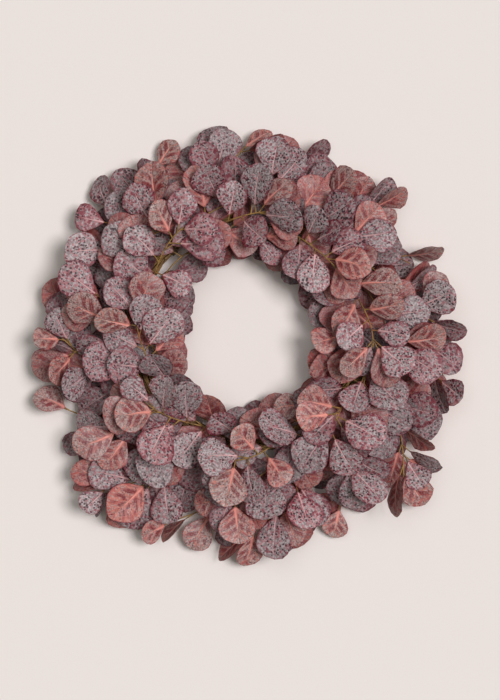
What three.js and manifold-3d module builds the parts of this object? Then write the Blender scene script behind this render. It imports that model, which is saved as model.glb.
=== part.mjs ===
// Eucalyptus wreath that lies on a table, face up. Millimetres and degrees, +Z up, +Y towards the wreath's top.
// A hoop of wound vine canes carries eight bindings. Each binding holds the feet of five leafy sprays, which
// run clockwise over the feet of the next bunch, so that the leaves lie round the hoop like shingles.
import * as THREE from "three";
import { mergeVertices } from "three/addons/utils/BufferGeometryUtils.js";
import Module from "manifold-3d";

// Hoop: one straight cane in the middle and six wound round it.
const HOOP_RADIUS = 132; // to the middle of the bundle of canes
const CANE_RADIUS = 3.1;
const CANE_COUNT = 6;
const CANE_SIDES = 4;
const CANE_STEPS = 29;
const CANE_GAP = 0.8; // between round canes; their flat-sided solids come nearer
const TWIST = -4; // turns of the wound canes in one round of the hoop, downwards on its outer side
const SEAT_GAP = 0.3; // between pieces that rest against each other

// Bindings: a flat band round the canes and the feet of the stems.
const BINDING_COUNT = 8;
const BINDING_WIDTH = 9;
const BINDING_WALL = 1.2;
const BINDING_SIDES = 8;

// Stems.
const STEM_RADIUS = 1.5;
const STEM_SIDES = 3;
const STEM_STEPS = 9;
const FOOT_STEPS = 2; // of them along the foot
const FOOT_BEHIND = 6; // degrees of the hoop that a foot lies in its groove, before and after the binding
const FOOT_AHEAD = 5;
const LIFT_OFF = 0.3; // how steeply a stem leaves the canes, as a slope
const TIP_RISE = 0.12; // how steeply it ends
const STEM_EASE = 0.36; // share of its span that it keeps its first and its last way
const TIP_JITTER = [-4, 4];

// Leaves.
const BLADE_THICKNESS = 0.7;
const BLADE_LENGTH = [50, 42]; // nearest the foot, and at the tip of the spray
const BLADE_WIDTH = [0.85, 0.99]; // of its length
const BASE_POWER = 0.75; // how pointed the base is: 1 for a straight-sided wedge, less for a rounder one
const TIP_POWER = 0.6; // the same for the tip
const CUP = [-0.1, 0.5]; // how far the sides rise, and how far the tip droops
const DROOP = [0.08, 0.34];
const STALK_WIDTH = [0.8, 1.7]; // at the stem, and at the blade
const STALK_LENGTH = [9, 14];
const TIP_STALK_LENGTH = [5, 8]; // of the leaf that ends a spray
const RIM_PLACES = [0.24, 0.54, 0.84]; // along the blade, where each side has a corner

// A leaf's pose and size are drawn from ranges that widen from the first try to the last: degrees that it turns
// from the stem's way, pitches up from the table and rolls about its midrib, and the share of its usual length.
const SIDE_TURN = { first: [24, 50], last: [24, 80] };
const TIP_TURN = { first: [-8, 8], last: [-48, 48] };
const PITCH = { first: [2, 24], last: [-14, 46] };
const ROLL = { first: [-20, 20], last: [-44, 44] };
const LENGTH_SHARE = { first: [0.86, 1.1], last: [0.69, 0.88] };

// The leaves' outline seen from above, in equal steps from +X, anticlockwise, measured from the hoop's centre.
const OUTER_REACH = [
  236, 238, 200, 220, 226, 230, 232, 242, 236, 246, 236, 242, 242, 260, 252, 282, 274, 262, 274, 272, 254, 286, 254, 256,
];
const HOLE_REACH = [70, 61, 61, 80, 74, 68, 67, 78, 80, 81, 75, 74];
// The clear way through the hole: lowest and highest x and y. A spray keeps beyond a straight line past it.
const HOLE_WAY = [
  [-55, -64],
  [54, 49],
];
const HOLE_MARGIN = 1;
const TABLE_CLEARANCE = 1.5;
// Places where the canes show between the leaves: x, y and radius.
const PEEKS = [
  [-86, 76, 12],
  [-118, -66, 7],
  [20, -140, 6],
];

// The five sprays of a bunch, from the top of the hoop to its outer underside. groove is the
// direction of its foot round the canes, 0 outwards and 90 up; arc is how far round the hoop its tip lies;
// reach places the tip between the hole (0) and the outline (1); splay turns it outwards from the clockwise way;
// leaves are the most that it carries.
const SPRAYS = [
  { groove: 100, arc: 54, reach: 0.37, height: 58, splay: 8, leaves: 8 },
  { groove: 160, arc: 54, reach: 0.2, height: 38, splay: -14, leaves: 9 },
  { groove: 40, arc: 54, reach: 0.6, height: 46, splay: 36, leaves: 8 },
  { groove: -20, arc: 44, reach: 0.82, height: 29, splay: 44, leaves: 8 },
  { groove: -80, arc: 65, reach: 0.86, height: 14, splay: 44, leaves: 7 },
];

const SEED = 21;
const TRIES = 45; // poses drawn for each leaf
const TIP_PLACE = 0.97; // on the stem, of the leaf that ends it
const PLACE_SHIFT = [-0.4, 0.2]; // of the other leaves, in steps from one to the next
const LEAF_GAP = 1.8; // between the middles of two blades
const LEAF_MARGIN = 2.8; // round a blade's outline
const HOOP_MARGIN = 1.6; // between the middle of a blade and the canes or a binding
const WAY_STEP = 0.02; // of a stem, before and after a place, over which its way there is measured
const STEM_TESTS = 40; // steps between the points where a stem is tested against the leaves
// Where a leaf is tested against its neighbours: shares of its stalk, of its length and of its half width.
const STALK_TESTS = [0.25, 0.5, 0.75];
const LENGTH_TESTS = [0, 0.13, 0.3, 0.47, 0.64, 0.81, 0.95, 1];
const WIDTH_TESTS = [-1, -0.5, 0, 0.5, 1];

const wasm = await Module();
wasm.setup();

const rad = THREE.MathUtils.degToRad;
const lerp = THREE.MathUtils.lerp;

// Seeded draws from 0 to 1.
let drawState = SEED;
function draw() {
  drawState = (drawState + 0x6d2b79f5) | 0;
  let t = Math.imul(drawState ^ (drawState >>> 15), 1 | drawState);
  t = (t + Math.imul(t ^ (t >>> 7), 61 | t)) ^ t;
  return ((t ^ (t >>> 14)) >>> 0) / 4294967296;
}
const between = ([low, high]) => lerp(low, high, draw());
const drawWidening = ({ first, last }, share) => between(first.map((value, i) => lerp(value, last[i], share)));

const caneDistance = 2 * CANE_RADIUS + CANE_GAP;
const footShare = FOOT_STEPS / STEM_STEPS;
const halfCaneAngle = Math.PI / CANE_COUNT;
const footDistance =
  caneDistance * Math.cos(halfCaneAngle) +
  Math.sqrt((CANE_RADIUS + STEM_RADIUS + SEAT_GAP) ** 2 - (caneDistance * Math.sin(halfCaneAngle)) ** 2);
const bindingInside = footDistance + STEM_RADIUS + SEAT_GAP;
const hoopHeight = bindingInside + BINDING_WALL;

// A point beside the hoop's centreline: distance from it, in a direction of its cross-section.
function besideHoop(angle, distance, direction) {
  const radius = HOOP_RADIUS + distance * Math.cos(rad(direction));
  return new THREE.Vector3(
    radius * Math.cos(rad(angle)),
    radius * Math.sin(rad(angle)),
    hoopHeight + distance * Math.sin(rad(direction)),
  );
}

// A value of a list that goes round the wreath in equal steps.
function roundTheRing(list, angle) {
  const place = (((angle % 360) + 360) % 360) / (360 / list.length);
  const i = Math.floor(place);
  return lerp(list[i], list[(i + 1) % list.length], place - i);
}

// A stem: its foot follows the groove between two canes, then it bends away to its tip.
class StemPath extends THREE.Curve {
  constructor(bindingAngle, spray) {
    super();
    this.bindingAngle = bindingAngle;
    this.groove = spray.groove;
    const end = this.foot(-FOOT_AHEAD);
    const start = new THREE.Vector3().subVectors(end, this.foot(1 - FOOT_AHEAD)).normalize();
    start.addScaledVector(this.foot(-FOOT_AHEAD, 1).sub(end), LIFT_OFF);
    start.z = Math.max(start.z, 0);
    start.normalize();
    const tipAngle = bindingAngle - spray.arc + between(TIP_JITTER);
    const tipRadius =
      lerp(roundTheRing(HOLE_REACH, tipAngle), roundTheRing(OUTER_REACH, tipAngle), spray.reach) + between(TIP_JITTER);
    const tip = new THREE.Vector3(
      tipRadius * Math.cos(rad(tipAngle)),
      tipRadius * Math.sin(rad(tipAngle)),
      spray.height + between(TIP_JITTER),
    );
    const heading = rad(tipAngle - 90 + spray.splay + between(TIP_JITTER));
    const away = new THREE.Vector3(Math.cos(heading), Math.sin(heading), TIP_RISE);
    const span = tip.distanceTo(end);
    this.outward = new THREE.Vector2(end.y - tip.y, tip.x - end.x).normalize();
    this.wayReach = Math.max(
      ...HOLE_WAY.flatMap(([x]) => HOLE_WAY.map(([, y]) => this.outward.dot(new THREE.Vector2(x, y)))),
    );
    this.bend = [
      end,
      end.clone().addScaledVector(start, STEM_EASE * span),
      tip.clone().addScaledVector(away, -STEM_EASE * span),
      tip,
    ];
  }
  foot(turn, lift = 0) {
    return besideHoop(this.bindingAngle + turn, footDistance + lift, this.groove + TWIST * turn);
  }
  getPoint(t, target = new THREE.Vector3()) {
    if (t < footShare) return target.copy(this.foot(lerp(FOOT_BEHIND, -FOOT_AHEAD, t / footShare)));
    const s = (t - footShare) / (1 - footShare);
    const weights = [(1 - s) ** 3, 3 * s * (1 - s) ** 2, 3 * s * s * (1 - s), s ** 3];
    target.set(0, 0, 0);
    this.bend.forEach((point, i) => target.addScaledVector(point, weights[i]));
    return target;
  }
  // Equal steps of the formula, and sections that stand with one corner up.
  getPointAt(t, target) {
    return this.getPoint(t, target);
  }
  getTangentAt(t, target) {
    return this.getTangent(t, target);
  }
  computeFrenetFrames(steps) {
    const tangents = Array.from({ length: steps + 1 }, (_, i) => this.getTangent(i / steps));
    const normals = tangents.map((way) => new THREE.Vector3(-way.y, way.x, 0).normalize().cross(way).negate());
    const binormals = tangents.map((way, i) => new THREE.Vector3().crossVectors(way, normals[i]));
    return { tangents, normals, binormals };
  }
  passesHoleWay(point) {
    return this.outward.dot(point) > this.wayReach + HOLE_MARGIN;
  }
  // A place on the straight-stepped middle line, from 0 where the stem leaves the hoop to 1 at its tip.
  free(s) {
    const steps = lerp(FOOT_STEPS, STEM_STEPS, s);
    const i = Math.min(Math.floor(steps), STEM_STEPS - 1);
    return this.getPoint(i / STEM_STEPS).lerp(this.getPoint((i + 1) / STEM_STEPS), steps - i);
  }
}

// Half the width of a blade at a share of its length.
const bladeShape = (t) => (t <= 0 || t >= 1 ? 0 : t ** BASE_POWER * (1 - t) ** TIP_POWER);
const widest = bladeShape(BASE_POWER / (BASE_POWER + TIP_POWER));
const halfWidth = (leaf, t) => (0.5 * leaf.width * bladeShape(t)) / widest;

// Height of a blade over the plane of its stalk: it arches down to its tip, and its sides are cupped.
const bladeHeight = (leaf, x, y) =>
  (leaf.cup * y * y) / leaf.length - (leaf.droop * Math.max(x, 0) ** 2) / leaf.length;

function onBlade(leaf, x, y, lift = 0) {
  return leaf.base
    .clone()
    .addScaledVector(leaf.along, x)
    .addScaledVector(leaf.across, y)
    .addScaledVector(leaf.up, bladeHeight(leaf, x, y) + lift);
}

function testPoints(leaf) {
  const points = STALK_TESTS.map((t) => onBlade(leaf, -t * leaf.stalk, 0));
  for (const t of LENGTH_TESTS)
    for (const side of WIDTH_TESTS) points.push(onBlade(leaf, t * leaf.length, side * halfWidth(leaf, t)));
  return points;
}

// True where the points lie on both sides of a blade, or too near it.
function crosses(points, leaf) {
  let above = 0;
  let below = 0;
  const from = new THREE.Vector3();
  for (const point of points) {
    from.subVectors(point, leaf.base);
    const x = from.dot(leaf.along);
    const y = from.dot(leaf.across);
    if (x < -LEAF_MARGIN || x > leaf.length + LEAF_MARGIN) continue;
    if (Math.abs(y) > halfWidth(leaf, x / leaf.length) + LEAF_MARGIN) continue;
    const height = from.dot(leaf.up) - bladeHeight(leaf, x, y);
    if (Math.abs(height) < LEAF_GAP) return true;
    if (height > 0) above++;
    else below++;
  }
  return above > 0 && below > 0;
}

// How near the hoop's centreline a leaf may come: further off at a binding than between two.
function hoopKeepOut(angle) {
  const spacing = 360 / BINDING_COUNT;
  const fromBinding = Math.abs(angle - spacing * Math.round(angle / spacing));
  const atBinding = rad(fromBinding) * HOOP_RADIUS < BINDING_WIDTH / 2 + HOOP_MARGIN;
  return HOOP_MARGIN + (atBinding ? hoopHeight / Math.cos(Math.PI / BINDING_SIDES) : caneDistance + CANE_RADIUS);
}

// True where a point is inside the wreath's outline, off the table and clear of the hoop and of the peeks.
function allowed(point) {
  const radius = Math.hypot(point.x, point.y);
  const angle = THREE.MathUtils.radToDeg(Math.atan2(point.y, point.x));
  return (
    radius < roundTheRing(OUTER_REACH, angle) &&
    radius > roundTheRing(HOLE_REACH, angle) &&
    point.z > TABLE_CLEARANCE &&
    Math.hypot(radius - HOOP_RADIUS, point.z - hoopHeight) > hoopKeepOut(angle) &&
    PEEKS.every(([x, y, reach]) => Math.hypot(point.x - x, point.y - y) > reach)
  );
}

// A leaf in one drawn pose, rooted at a place on its stem. side is 1 left of the stem, -1 right and 0 at its tip.
function drawLeaf(stem, place, side, share) {
  const root = stem.path.free(place);
  const ahead = stem.path.free(Math.min(place + WAY_STEP, 1)).sub(stem.path.free(place - WAY_STEP));
  const turn = side === 0 ? drawWidening(TIP_TURN, share) : side * drawWidening(SIDE_TURN, share);
  const heading = Math.atan2(ahead.y, ahead.x) + rad(turn);
  const pitch = rad(drawWidening(PITCH, share));
  const roll = rad(drawWidening(ROLL, share));
  const length = lerp(BLADE_LENGTH[0], BLADE_LENGTH[1], place) * drawWidening(LENGTH_SHARE, share);
  const width = length * between(BLADE_WIDTH);
  const stalk = between(side === 0 ? TIP_STALK_LENGTH : STALK_LENGTH);
  const cup = between(CUP);
  const droop = between(DROOP);
  const level = new THREE.Vector3(-Math.sin(heading), Math.cos(heading), 0);
  const along = new THREE.Vector3(
    Math.cos(pitch) * Math.cos(heading),
    Math.cos(pitch) * Math.sin(heading),
    Math.sin(pitch),
  );
  const upright = new THREE.Vector3().crossVectors(along, level);
  const across = level.clone().multiplyScalar(Math.cos(roll)).addScaledVector(upright, Math.sin(roll));
  const up = upright.clone().multiplyScalar(Math.cos(roll)).addScaledVector(level, -Math.sin(roll));
  const base = root.clone().addScaledVector(along, stalk);
  return { base, along, across, up, length, width, stalk, cup, droop };
}

// All stems first, then their leaves, bunch by bunch within each layer.
const stems = [];
for (const spray of SPRAYS)
  for (let binding = 0; binding < BINDING_COUNT; binding++) {
    const path = new StemPath((binding * 360) / BINDING_COUNT, spray);
    const points = Array.from({ length: STEM_TESTS + 1 }, (_, i) => path.getPoint(i / STEM_TESTS));
    stems.push({ path, points, leafCount: spray.leaves, leaves: [] });
  }
const placed = [];
const isClear = (leaf, stem) =>
  leaf.points.every((point) => allowed(point) && stem.path.passesHoleWay(point)) &&
  placed.every((other) => !crosses(leaf.points, other) && !crosses(other.points, leaf)) &&
  stems.every((other) => other === stem || !crosses(other.points, leaf));
// How far the middle of a leaf lies from the nearest other, seen from above.
const roomFor = (leaf) =>
  Math.min(...placed.map((other) => Math.hypot(other.middle.x - leaf.middle.x, other.middle.y - leaf.middle.y)));

// Each leaf takes the clear pose that leaves the fewest gaps among those placed before it.
for (const stem of stems)
  for (let i = stem.leafCount; i > 0; i--) {
    const side = i === stem.leafCount ? 0 : i % 2 ? 1 : -1;
    let best;
    for (let tryNumber = 0; tryNumber < TRIES; tryNumber++) {
      const place = side === 0 ? TIP_PLACE : (i + between(PLACE_SHIFT)) / stem.leafCount;
      const leaf = drawLeaf(stem, place, side, tryNumber / TRIES);
      leaf.points = testPoints(leaf);
      leaf.middle = onBlade(leaf, leaf.length / 2, 0);
      leaf.room = roomFor(leaf);
      if ((!best || leaf.room > best.room) && isClear(leaf, stem)) best = leaf;
    }
    if (!best) continue;
    placed.push(best);
    stem.leaves.push(best);
  }

function solidOf(geometry) {
  geometry.deleteAttribute("normal");
  geometry.deleteAttribute("uv");
  const merged = mergeVertices(geometry, 1e-4);
  return new wasm.Manifold(
    new wasm.Mesh({
      numProp: 3,
      vertProperties: merged.attributes.position.array,
      triVerts: new Uint32Array(merged.index.array),
    }),
  );
}

function geometryOf(solid) {
  const mesh = solid.getMesh();
  const geometry = new THREE.BufferGeometry();
  geometry.setAttribute("position", new THREE.BufferAttribute(mesh.vertProperties, 3));
  geometry.setIndex(new THREE.BufferAttribute(mesh.triVerts, 1));
  geometry.computeVertexNormals();
  return geometry;
}

// A regular polygon as a section to sweep.
function section(sides, radius) {
  const shape = new THREE.Shape();
  for (let i = 0; i < sides; i++) {
    const turn = (2 * Math.PI * i) / sides;
    if (i) shape.lineTo(radius * Math.cos(turn), radius * Math.sin(turn));
    else shape.moveTo(radius, 0);
  }
  shape.closePath();
  return shape;
}

function stemGeometry(path) {
  return new THREE.ExtrudeGeometry(section(STEM_SIDES, STEM_RADIUS), {
    steps: STEM_STEPS,
    extrudePath: path,
    bevelEnabled: false,
  });
}

// A thin leaf with its stalk: the rim and a middle point of the upper face, the same of the lower face, and last
// the root of the stalk, a short edge inside the stem where both faces meet.
function leafGeometry(leaf) {
  const [root, neck] = STALK_WIDTH.map((width) => width / 2);
  const right = RIM_PLACES.map((t) => [t * leaf.length, -halfWidth(leaf, t)]);
  const left = RIM_PLACES.map((t) => [t * leaf.length, halfWidth(leaf, t)]).reverse();
  const rim = [[0, -neck], ...right, [leaf.length, 0], ...left, [0, neck]];
  const last = rim.length - 1;
  const middle = rim.length;
  const under = rim.length + 1;
  const rootRight = 2 * under;
  const rootLeft = rootRight + 1;
  const positions = [];
  for (const lift of [BLADE_THICKNESS / 2, -BLADE_THICKNESS / 2])
    for (const [x, y] of [...rim, [0.5 * leaf.length, 0]]) positions.push(...onBlade(leaf, x, y, lift).toArray());
  for (const y of [-root, root]) positions.push(...onBlade(leaf, -leaf.stalk, y).toArray());
  const faces = [rootRight, 0, last, rootRight, last, rootLeft];
  faces.push(rootRight, last + under, under, rootRight, rootLeft, last + under);
  faces.push(rootRight, under, 0, rootLeft, last, last + under);
  for (let i = 0; i <= last; i++) {
    const next = (i + 1) % rim.length;
    faces.push(middle, i, next, middle + under, next + under, i + under);
    if (i < last) faces.push(i, i + under, next + under, i, next + under, next);
  }
  const geometry = new THREE.BufferGeometry();
  geometry.setAttribute("position", new THREE.Float32BufferAttribute(positions, 3));
  geometry.setIndex(faces);
  return geometry;
}

function sprayGeometry(stem) {
  const pieces = [stemGeometry(stem.path), ...stem.leaves.map(leafGeometry)];
  return geometryOf(wasm.Manifold.union(pieces.map(solidOf)));
}

// A cane: a ring whose centre winds round the hoop's centreline at a distance.
function caneGeometry(distance, direction) {
  const geometry = new THREE.TorusGeometry(HOOP_RADIUS, CANE_RADIUS, CANE_SIDES, CANE_STEPS);
  const position = geometry.attributes.position;
  const point = new THREE.Vector3();
  for (let i = 0; i < position.count; i++) {
    point.fromBufferAttribute(position, i);
    const angle = Math.atan2(point.y, point.x);
    const turned = TWIST * angle + rad(direction);
    const radius = Math.hypot(point.x, point.y) + distance * Math.cos(turned);
    point.set(radius * Math.cos(angle), radius * Math.sin(angle), point.z + hoopHeight + distance * Math.sin(turned));
    position.setXYZ(i, point.x, point.y, point.z);
  }
  return geometry;
}

// A binding: a flat-sided band with one side on the table, swept straight along the hoop.
function bindingGeometry() {
  const sideAngle = Math.PI / BINDING_SIDES;
  const shape = section(BINDING_SIDES, hoopHeight / Math.cos(sideAngle));
  shape.holes.push(section(BINDING_SIDES, bindingInside / Math.cos(sideAngle)));
  const geometry = new THREE.ExtrudeGeometry(shape, { depth: BINDING_WIDTH, bevelEnabled: false });
  geometry.translate(0, 0, -BINDING_WIDTH / 2);
  geometry.rotateZ(Math.PI / 2 - sideAngle * (BINDING_SIDES / 2 - 1));
  return geometry.rotateX(Math.PI / 2);
}

const leafColours = ["#8a6468", "#9c7a78", "#7c5258", "#a5605a", "#8f6f72"];

function finish(name, geometry, color, roughness) {
  const mesh = new THREE.Mesh(geometry, new THREE.MeshStandardMaterial({ color, roughness, metalness: 0 }));
  mesh.name = name;
  return mesh;
}

const wreath = new THREE.Group();
wreath.add(finish("cane_core", caneGeometry(0, 0), "#6b4a33", 0.8));
for (let i = 0; i < CANE_COUNT; i++) {
  const direction = (360 * (i + 0.5)) / CANE_COUNT + SPRAYS[0].groove;
  wreath.add(finish(`cane_${i + 1}`, caneGeometry(caneDistance, direction), i % 2 ? "#7a5a3c" : "#8c6f4a", 0.8));
}
for (let i = 0; i < BINDING_COUNT; i++) {
  const angle = (2 * Math.PI * i) / BINDING_COUNT;
  const binding = finish(`binding_${i + 1}`, bindingGeometry(), "#4a4632", 0.7);
  binding.position.set(HOOP_RADIUS * Math.cos(angle), HOOP_RADIUS * Math.sin(angle), hoopHeight);
  binding.rotation.z = angle;
  wreath.add(binding);
}
stems.forEach((stem, i) => {
  const name = `spray_${String(i + 1).padStart(2, "0")}`;
  wreath.add(finish(name, sprayGeometry(stem), leafColours[i % leafColours.length], 0.55));
});

// The origin is under the middle of the whole wreath, on the table.
wreath.updateMatrixWorld(true);
const box = new THREE.Box3().setFromObject(wreath, true);
const part = new THREE.Group();
wreath.position.set(-(box.min.x + box.max.x) / 2, -(box.min.y + box.max.y) / 2, -box.min.z);
part.add(wreath);

export default part;
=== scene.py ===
import math

import bpy
import numpy as np
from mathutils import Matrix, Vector


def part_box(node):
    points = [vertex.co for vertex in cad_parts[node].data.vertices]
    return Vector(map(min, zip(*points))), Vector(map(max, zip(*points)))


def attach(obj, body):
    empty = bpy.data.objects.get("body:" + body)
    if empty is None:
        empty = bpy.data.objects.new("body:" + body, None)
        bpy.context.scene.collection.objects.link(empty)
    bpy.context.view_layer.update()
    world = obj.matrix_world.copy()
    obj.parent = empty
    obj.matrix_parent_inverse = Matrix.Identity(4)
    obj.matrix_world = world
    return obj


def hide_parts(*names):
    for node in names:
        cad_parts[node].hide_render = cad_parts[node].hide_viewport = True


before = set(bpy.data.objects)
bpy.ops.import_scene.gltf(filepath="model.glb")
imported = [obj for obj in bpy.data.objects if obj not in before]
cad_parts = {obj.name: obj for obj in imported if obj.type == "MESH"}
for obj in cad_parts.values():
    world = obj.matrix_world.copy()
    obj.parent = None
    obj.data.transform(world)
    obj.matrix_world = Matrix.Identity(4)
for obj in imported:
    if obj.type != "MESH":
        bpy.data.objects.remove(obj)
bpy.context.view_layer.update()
bindingCount = sum(name.startswith("binding_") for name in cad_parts)
caneCount = sum(name.startswith("cane_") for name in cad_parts)
bindingMiddles = [sum(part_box(f"binding_{i + 1}"), Vector()) / 2 for i in range(bindingCount)]
hoopMiddle = sum(bindingMiddles, Vector()) / bindingCount
hoopRadius = (bindingMiddles[0] - hoopMiddle).length
print("frame loaded, hoop", round(hoopRadius, 4), "m round", tuple(round(v, 4) for v in hoopMiddle))


# The growth of the sprays, in millimetres and degrees from the hoop's middle, by the rule the CAD follows.
hoopPlan = {
    "caneRadius": 3.1, "caneGap": 0.8, "twist": -4, "stemRadius": 1.5, "seatGap": 0.3,
    "bindingWidth": 9, "bindingWall": 1.2, "bindingSides": 8,
}
caneDistance = 2 * hoopPlan["caneRadius"] + hoopPlan["caneGap"]
halfCaneAngle = math.pi / (caneCount - 1)
seatReach = hoopPlan["caneRadius"] + hoopPlan["stemRadius"] + hoopPlan["seatGap"]
footDistance = caneDistance * math.cos(halfCaneAngle)
footDistance += math.sqrt(seatReach ** 2 - (caneDistance * math.sin(halfCaneAngle)) ** 2)
bindingInside = footDistance + hoopPlan["stemRadius"] + hoopPlan["seatGap"]
bindingOutside = bindingInside + hoopPlan["bindingWall"]
stemPlan = {
    "footBehind": 6, "footAhead": 5,
    "liftOff": 0.3, "tipRise": 0.12, "ease": 0.36, "jitter": (-4, 4),
    "steps": 9, "footSteps": 2, "tests": 40,
}
leafPlan = {
    "length": (50, 42), "width": (0.85, 0.99), "basePower": 0.75, "tipPower": 0.6,
    "cup": (-0.1, 0.5), "droop": (0.08, 0.34), "stalk": (9, 14), "tipStalk": (5, 8),
    "sideTurn": ((24, 50), (24, 80)), "tipTurn": ((-8, 8), (-48, 48)),
    "pitch": ((2, 24), (-14, 46)), "roll": ((-20, 20), (-44, 44)),
    "lengthShare": ((0.86, 1.1), (0.69, 0.88)),
    "seed": 21, "tries": 45, "tipPlace": 0.97, "placeShift": (-0.4, 0.2), "wayStep": 0.02,
    "gap": 1.8, "margin": 2.8, "beyond": (0,), "peekShare": 1, "underPeek": 0, "hullClear": True,
    "hoopMargin": 1.6, "holeMargin": 1, "tableClearance": 1.5,
    "stalkTests": (0.25, 0.5, 0.75), "lengthTests": (0, 0.13, 0.3, 0.47, 0.64, 0.81, 0.95, 1),
    "widthTests": (-1, -0.5, 0, 0.5, 1),
}
outline = {
    "outer": (236, 238, 200, 220, 226, 230, 232, 242, 236, 246, 236, 242,
              242, 260, 252, 282, 274, 262, 274, 272, 254, 286, 254, 256),
    "hole": (70, 61, 61, 80, 74, 68, 67, 78, 80, 81, 75, 74),
    "holeWay": ((-55, -64), (54, 49)), "intoHole": 4,
    "peeks": ((-86, 76, 12), (-118, -66, 7), (20, -140, 6)),
    "caneReach": caneDistance + hoopPlan["caneRadius"],
    "bindingReach": bindingOutside / math.cos(math.pi / hoopPlan["bindingSides"]),
    "bindingHalfWidth": hoopPlan["bindingWidth"] / 2,
}
sprayKinds = (
    {"groove": 100, "arc": 54, "reach": 0.37, "height": 58, "splay": 8, "leaves": 8},
    {"groove": 160, "arc": 54, "reach": 0.2, "height": 38, "splay": -14, "leaves": 9},
    {"groove": 40, "arc": 54, "reach": 0.6, "height": 46, "splay": 36, "leaves": 8},
    {"groove": -20, "arc": 44, "reach": 0.82, "height": 29, "splay": 44, "leaves": 8},
    {"groove": -80, "arc": 65, "reach": 0.86, "height": 14, "splay": 44, "leaves": 7},
)
mm = 0.001
hoopHeight = hoopMiddle.z / mm


class Draws:
    def __init__(self, seed):
        self.state = seed

    def next(self):
        whole = 0xFFFFFFFF
        self.state = (self.state + 0x6D2B79F5) & whole
        t = ((self.state ^ (self.state >> 15)) * (1 | self.state)) & whole
        t = ((t + (((t ^ (t >> 7)) * (61 | t)) & whole)) & whole) ^ t
        return (t ^ (t >> 14)) / (whole + 1)

    def between(self, ends):
        return lerp(ends[0], ends[1], self.next())

    def widening(self, ends, share):
        first, last = ends
        return self.between([lerp(a, b, share) for a, b in zip(first, last)])


def lerp(a, b, share):
    return (1 - share) * a + share * b


def roundTheRing(values, angle):
    values = np.array(values, float)
    place = np.mod(angle, 360) / (360 / len(values))
    i = np.floor(place).astype(int)
    return lerp(values[i % len(values)], values[(i + 1) % len(values)], place - i)


def onRing(radius, angle, height):
    return np.array((radius * math.cos(math.radians(angle)), radius * math.sin(math.radians(angle)), height))


def length(vector):
    return math.sqrt(float(vector @ vector))


def unit(vector):
    return vector / length(vector)


class Stem:
    def __init__(self, draws, bindingAngle, kind):
        self.bindingAngle = bindingAngle
        self.kind = kind
        self.leaves = []
        ahead = stemPlan["footAhead"]
        end = self.foot(-ahead)
        start = unit(end - self.foot(1 - ahead)) + (self.foot(-ahead, 1) - end) * stemPlan["liftOff"]
        start[2] = max(start[2], 0)
        start = unit(start)
        jitter = [draws.between(stemPlan["jitter"]) for _ in range(4)]
        tipAngle = bindingAngle - kind["arc"] + jitter[0]
        inner, outer = roundTheRing(outline["hole"], tipAngle), roundTheRing(outline["outer"], tipAngle)
        reach = float(lerp(inner, outer, kind["reach"])) + jitter[1]
        tip = onRing(reach, tipAngle, kind["height"] + jitter[2])
        away = onRing(1, tipAngle - 90 + kind["splay"] + jitter[3], stemPlan["tipRise"])
        self.outward = unit(np.array((end[1] - tip[1], tip[0] - end[0])))
        way = outline["holeWay"]
        self.wayReach = max(self.outward @ (x, y) for x, _ in way for _, y in way)
        ease = stemPlan["ease"] * length(tip - end)
        self.bend = (end, end + start * ease, tip - away * ease, tip)
        self.corners, self.points = self.inSteps(stemPlan["steps"]), self.inSteps(stemPlan["tests"])

    def inSteps(self, count):
        return np.array([self.at(i / count) for i in range(count + 1)])

    def foot(self, turn, lift=0):
        direction = math.radians(self.kind["groove"] + hoopPlan["twist"] * turn)
        distance = footDistance + lift
        radius = hoopRadius / mm + distance * math.cos(direction)
        return onRing(radius, self.bindingAngle + turn, hoopHeight + distance * math.sin(direction))

    def at(self, t):
        footShare = stemPlan["footSteps"] / stemPlan["steps"]
        if t < footShare:
            return self.foot(lerp(stemPlan["footBehind"], -stemPlan["footAhead"], t / footShare))
        s = (t - footShare) / (1 - footShare)
        weights = ((1 - s) ** 3, 3 * s * (1 - s) ** 2, 3 * s * s * (1 - s), s ** 3)
        return sum(point * weight for point, weight in zip(self.bend, weights))

    def free(self, s):  # a place on the CAD stem's straight-stepped middle line, from the hoop to the tip
        steps = lerp(stemPlan["footSteps"], stemPlan["steps"], s)
        i = min(int(steps), stemPlan["steps"] - 1)
        return self.corners[i] + (self.corners[i + 1] - self.corners[i]) * (steps - i)


def fullest(basePower, tipPower):  # how wide a blade is where it is widest, before it is scaled to its width
    peak = basePower / (basePower + tipPower)
    return peak ** basePower * (1 - peak) ** tipPower


widest = fullest(leafPlan["basePower"], leafPlan["tipPower"])


def halfWidth(leafWidth, t):
    t = np.clip(t, 0, 1)
    return 0.5 * leafWidth * (t ** leafPlan["basePower"] * (1 - t) ** leafPlan["tipPower"]) / widest


def bladeHeight(leaf, x, y):
    return (leaf["cup"] * y * y - leaf["droop"] * np.maximum(x, 0) ** 2) / leaf["length"]


def onBlade(leaf, x, y):
    x, y = np.asarray(x, float)[..., None], np.asarray(y, float)[..., None]
    return leaf["base"] + x * leaf["along"] + y * leaf["across"] + bladeHeight(leaf, x, y) * leaf["up"]


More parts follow.
